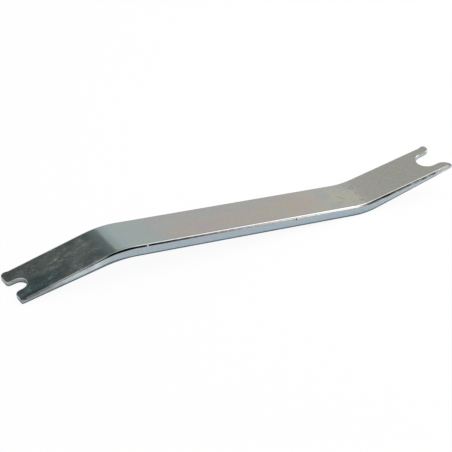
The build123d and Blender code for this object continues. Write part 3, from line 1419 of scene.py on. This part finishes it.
@dataclass(frozen=True)
class Canopy:
    """The diffusing sheet hung over the bench, bright on its window side, with a dark flag beside it."""

    height: float = 0.6
    west: float = -1.2
    east: float = 2.6
    south: float = -3.4
    north: float = 1.8
    plain: float = 0.57
    window: float = 1.6
    dip: float = 0.11
    flag: float = 0.10
    flag_edge: float = 0.19
    flag_front: float = 0.008
    beside: float = 0.48
    overhead_left: float = 0.55
    overhead_right: float = 0.9

    def build(self) -> bpy.types.Object:
        """Make the sheet, which lights the bench but isn't in the picture.

        Returns:
            The sheet.
        """
        corners = (
            (self.west, self.south, self.height),
            (self.west, self.north, self.height),
            (self.east, self.north, self.height),
            (self.east, self.south, self.height),
        )
        sheet = flat_sheet("diffusing_sheet", corners, self.material())
        sheet.visible_camera = False
        return sheet

    def material(self) -> bpy.types.Material:
        """The sheet's glow from place to place, in metres on the sheet.

        Returns:
            The material.
        """
        glow = bpy.data.materials.new("diffusing_sheet")
        glow.use_nodes = True
        n = Nodes(glow.node_tree)
        glow.node_tree.nodes.remove(glow.node_tree.nodes["Principled BSDF"])
        x, y, _ = n.parts(n.add("ShaderNodeTexCoord").outputs["Object"])

        # The border between the dark flag, towards -x, and the lit part of the sheet
        ahead = n.math("MAXIMUM", n.math("SUBTRACT", -0.32, y), 0.0)
        border = n.math("MULTIPLY_ADD", ahead, 0.55, 0.18)
        border = n.math("ADD", border, n.ramp(y, 0.25, 0.5, -0.12, -0.012))
        border = n.math("ADD", border, n.ramp(y, -0.26, -0.08, 0.34, 0.0))
        past = n.math("SUBTRACT", x, border)
        softness = n.math("MULTIPLY_ADD", ahead, 0.05, n.ramp(y, 0.2, 0.5, 0.07, 0.015))
        lit = n.ramp(n.math("DIVIDE", past, softness), -1.0, 1.0)

        # The lit part is brightest at the window, towards -y, with a dimmer strip behind the middle
        fall = n.fade(y, -0.08, 0.18)
        rise = n.ramp(past, 0.0, 0.45)
        bright = n.math("MULTIPLY", n.math("MULTIPLY", fall, rise), self.window)
        dip = n.ramp(n.math("ABSOLUTE", n.math("SUBTRACT", y, 0.48)), 0.1, 0.2, self.dip, 0.0)
        bright = n.math("SUBTRACT", n.math("ADD", bright, self.plain), dip)
        bright = n.math("MULTIPLY", bright, n.math("MAXIMUM", n.ramp(past, 0.0, 0.2, 0.8, 1.0), fall))

        # The flag is darkest in front, but lighter there towards -x and in a strip overhead
        behind = n.ramp(past, -0.22, -0.02, self.flag, self.flag_edge)
        flag = n.ramp(y, -0.2, 0.6, self.flag_front, behind)
        beside = n.math("MULTIPLY", n.fade(x, -0.04, 0.03), n.fade(y, -0.3, -0.12))
        flag = n.math("MULTIPLY_ADD", beside, self.beside, flag)
        overhead = n.fade(n.math("ABSOLUTE", n.math("SUBTRACT", y, 0.04)), 0.06, 0.1)
        along = n.ramp(x, -0.02, 0.16, self.overhead_left, self.overhead_right)
        overhead = n.math("MULTIPLY", overhead, along)
        flag = n.math("ADD", flag, overhead)

        # Past the flag's own edges the sheet is plain again
        left = n.ramp(x, -0.55, -0.25, self.plain, 0.0)
        back = n.ramp(y, 0.8, 1.0, 0.0, self.plain)
        far_front = n.ramp(n.math("MULTIPLY_ADD", y, 0.14, x), -0.16, -0.02, self.plain, 0.0)
        far_front = n.math("MULTIPLY", far_front, n.fade(y, -0.9, -0.7))
        flag = n.math("MAXIMUM", flag, n.math("MAXIMUM", left, n.math("MAXIMUM", back, far_front)))
        level = n.math("ADD", flag, n.math("MULTIPLY", lit, n.math("SUBTRACT", bright, flag)))

        lamp = n.add("ShaderNodeEmission")
        n.feed(lamp.inputs["Strength"], level)
        out = glow.node_tree.nodes["Material Output"]
        n.feed(out.inputs["Surface"], lamp.outputs[0])
        return glow


@dataclass(frozen=True)
class SoftLamp:
    """The broad soft lamp under the sheet, which lights the bench evenly."""

    size: float = 1.1
    height: float = 0.58
    power: float = 2.2

    def build(self) -> bpy.types.Object:
        """Make the lamp.

        Returns:
            The lamp.
        """
        data = bpy.data.lights.new("soft_lamp", "AREA")
        data.shape = "SQUARE"
        data.size = self.size
        data.energy = self.power
        lamp = bpy.data.objects.new("soft_lamp", data)
        lamp.location = (0.0, 0.0, self.height)
        lamp.visible_glossy = False
        lamp.visible_camera = False
        bpy.context.scene.collection.objects.link(lamp)
        return lamp


@dataclass(frozen=True)
class Studio:
    """The plain room round the bench."""

    grey: float = 0.57
    front_flag: float = 0.01

    def build(self) -> bpy.types.World:
        """Make the surround.

        Returns:
            The world.
        """
        world = bpy.data.worlds.new("soft_studio")
        bpy.context.scene.world = world
        world.use_nodes = True
        n = Nodes(world.node_tree)
        for node in list(world.node_tree.nodes):
            world.node_tree.nodes.remove(node)
        east, north, _ = n.parts(n.add("ShaderNodeTexCoord").outputs["Generated"])
        turn = n.math("DEGREES", n.math("ARCTAN2", east, north))
        flag = n.band(turn, (138.5, 142.0), (173.0, 184.0))
        level = n.math("MULTIPLY_ADD", flag, self.front_flag - self.grey, self.grey)
        path = n.add("ShaderNodeLightPath")
        seen = n.mix_colour(path.outputs["Is Camera Ray"], level, (1.0, 1.0, 1.0, 1.0))
        glow = n.add("ShaderNodeBackground")
        n.feed(glow.inputs["Color"], seen)
        n.feed(glow.inputs["Strength"], 1.0)
        n.feed(n.add("ShaderNodeOutputWorld").inputs["Surface"], glow.outputs[0])
        return world


@dataclass(frozen=True)
class Viewpoint:
    """The camera, where the photograph's was."""

    place: tuple[float, float, float] = (-0.41036, -0.5472, 0.42388)
    right: tuple[float, float, float] = (0.83677, -0.53885, 0.09721)
    up: tuple[float, float, float] = (0.21587, 0.48781, 0.84584)
    lens: float = 119.762
    sensor: float = 36.0

    def build(self) -> bpy.types.Object:
        """Make the camera and give it to the scene.

        Returns:
            The camera.
        """
        data = bpy.data.cameras.new("viewpoint")
        data.lens = self.lens
        data.sensor_width = self.sensor
        data.clip_start = 0.01
        data.clip_end = 20.0
        camera = bpy.data.objects.new("viewpoint", data)
        right = Vector(self.right).normalized()
        up = (Vector(self.up) - right * right.dot(Vector(self.up))).normalized()
        back = right.cross(up)
        turned = Matrix((right, up, back)).transposed().to_4x4()
        camera.matrix_world = Matrix.Translation(self.place) @ turned
        bpy.context.scene.collection.objects.link(camera)
        bpy.context.scene.camera = camera
        return camera


def main() -> None:
    """Build the tool, its bench, light and camera."""
    logging.basicConfig(level=logging.INFO, format="%(message)s")
    bpy.context.scene.view_settings.view_transform = "Standard"
    bar = ForkedBar().build(ZincPlate().material())
    log.info("%s: %d faces", bar.name, len(bar.data.polygons))
    log.info("%s", Bench().build().name)
    log.info("%s", Canopy().build().name)
    log.info("%s", SoftLamp().build().name)
    log.info("%s", Studio().build().name)
    log.info("%s", Viewpoint().build().name)


if __name__ == "__main__":
    main()
